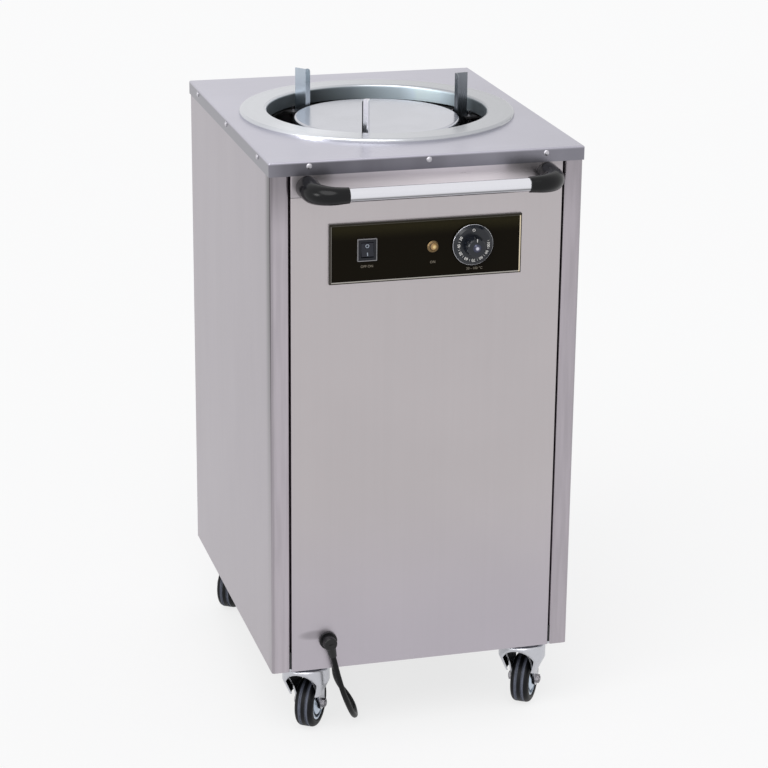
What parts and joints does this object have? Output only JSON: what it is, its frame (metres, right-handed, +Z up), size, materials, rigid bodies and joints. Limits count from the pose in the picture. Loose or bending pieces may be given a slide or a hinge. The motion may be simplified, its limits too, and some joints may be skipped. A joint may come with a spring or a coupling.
{
  "type": "plate dispenser cart",
  "caption": "Heated plate dispenser cart: steel cabinet on swivel casters with a sprung plate platform in a round well, plate guides, push handle and control plate.",
  "frame": {"origin": "on the floor under the middle of the cart's box, handle included and cord left out", "axes": "+Z up, -Y the front with the handle and the control plate, +X to the right seen from the front"},
  "size_m": [0.4574, 0.6208, 0.918],
  "materials": {
    "deck_steel": "satin",
    "ring_steel": "spun satin",
    "panel_steel": "satin",
    "inner_steel": "mill",
    "platform_steel": "bright satin",
    "guide_steel": "satin",
    "bright_steel": "bright",
    "chrome": "polished",
    "black_gloss": "gloss",
    "black_plastic": "moulded",
    "amber_lens": "translucent gloss",
    "nylon": "moulded",
    "heater_steel": "heat stained",
    "cord_rubber": "matte",
    "zinc": "zinc plated",
    "hub_steel": "zinc plated",
    "tyre_rubber": "matte"
  },
  "bodies": {
    "root": {"top_deck": "deck_steel", "ring_flange": "ring_steel", "side_panel_left": "panel_steel", "side_panel_right": "panel_steel", "front_panel": "panel_steel", "front_strip": "panel_steel", "back_panel": "panel_steel", "base_pan": "inner_steel", "corner_posts": "inner_steel", "upper_ring": "inner_steel", "control_plate": "black_gloss", "control_frame": "bright_steel", "rocker_frame": "black_plastic", "lamp_bezel": "chrome", "lamp_lens": "amber_lens", "thermostat": "nylon", "handle_tube": "chrome", "handle_elbow_left": "black_gloss", "handle_elbow_right": "black_gloss", "cabinet_screws": "bright_steel", "guide_rods": "bright_steel", "slide_rods": "bright_steel", "heater": "heater_steel", "heater_brackets": "inner_steel", "cord_gland": "black_plastic", "cord": "cord_rubber", "cord_coil": "cord_rubber", "plug": "cord_rubber", "cord_tie": "black_plastic", "caster_plates": "zinc", "caster_bolts": "zinc", "plate_guide_1": "guide_steel", "lift_spring_1": "bright_steel", "plate_guide_2": "guide_steel", "lift_spring_2": "bright_steel", "plate_guide_3": "guide_steel", "lift_spring_3": "bright_steel"},
    "platform": {"platform": "platform_steel", "carriage": "inner_steel", "slide_bushes": "nylon"},
    "dial": {"dial": "black_gloss", "dial_cap": "chrome", "thermostat_shaft": "bright_steel"},
    "rocker": {"rocker": "black_gloss"},
    "swivel_fl": {"fork_fl": "zinc", "axle_fl": "zinc"},
    "wheel_fl": {"hub_fl": "hub_steel", "tyre_fl": "tyre_rubber"},
    "swivel_fr": {"fork_fr": "zinc", "axle_fr": "zinc"},
    "wheel_fr": {"hub_fr": "hub_steel", "tyre_fr": "tyre_rubber"},
    "swivel_bl": {"fork_bl": "zinc", "axle_bl": "zinc"},
    "wheel_bl": {"hub_bl": "hub_steel", "tyre_bl": "tyre_rubber"},
    "swivel_br": {"fork_br": "zinc", "axle_br": "zinc"},
    "wheel_br": {"hub_br": "hub_steel", "tyre_br": "tyre_rubber"}
  },
  "joints": [
    {"name": "platform_lift", "type": "slide", "parent": "root", "child": "platform", "axis": [0, 0, 1], "range_m": [-0.45, 0], "stiffness_N_per_m": 600, "springref_m": 0.06, "deforming": ["lift_spring_1", "lift_spring_2", "lift_spring_3"]},
    {"name": "dial_turn", "type": "hinge", "parent": "root", "child": "dial", "pos_m": [0.064, -0.24335, 0.7395], "axis": [0, 1, 0], "range_deg": [0, 280]},
    {"name": "rocker_tip", "type": "hinge", "parent": "root", "child": "rocker", "pos_m": [-0.088, -0.24335, 0.741], "axis": [1, 0, 0], "range_deg": [0, 12]},
    {"name": "swivel_fl_turn", "type": "hinge", "parent": "root", "child": "swivel_fl", "pos_m": [-0.167, -0.21185, 0.0375], "axis": [0, 0, 1], "continuous": true},
    {"name": "wheel_fl_spin", "type": "hinge", "parent": "swivel_fl", "child": "wheel_fl", "pos_m": [-0.15611, -0.19508, 0.0375], "axis": [-0.8387, 0.5446, 0], "continuous": true},
    {"name": "swivel_fr_turn", "type": "hinge", "parent": "root", "child": "swivel_fr", "pos_m": [0.167, -0.21185, 0.0375], "axis": [0, 0, 1], "continuous": true},
    {"name": "wheel_fr_spin", "type": "hinge", "parent": "swivel_fr", "child": "wheel_fr", "pos_m": [0.17789, -0.19508, 0.0375], "axis": [-0.8387, 0.5446, 0], "continuous": true},
    {"name": "swivel_bl_turn", "type": "hinge", "parent": "root", "child": "swivel_bl", "pos_m": [-0.167, 0.27515, 0.0375], "axis": [0, 0, 1], "continuous": true},
    {"name": "wheel_bl_spin", "type": "hinge", "parent": "swivel_bl", "child": "wheel_bl", "pos_m": [-0.17789, 0.25838, 0.0375], "axis": [0.8387, -0.5446, 0], "continuous": true},
    {"name": "swivel_br_turn", "type": "hinge", "parent": "root", "child": "swivel_br", "pos_m": [0.167, 0.27515, 0.0375], "axis": [0, 0, 1], "continuous": true},
    {"name": "wheel_br_spin", "type": "hinge", "parent": "swivel_br", "child": "wheel_br", "pos_m": [0.15611, 0.25838, 0.0375], "axis": [0.8387, -0.5446, 0], "continuous": true}
  ]
}
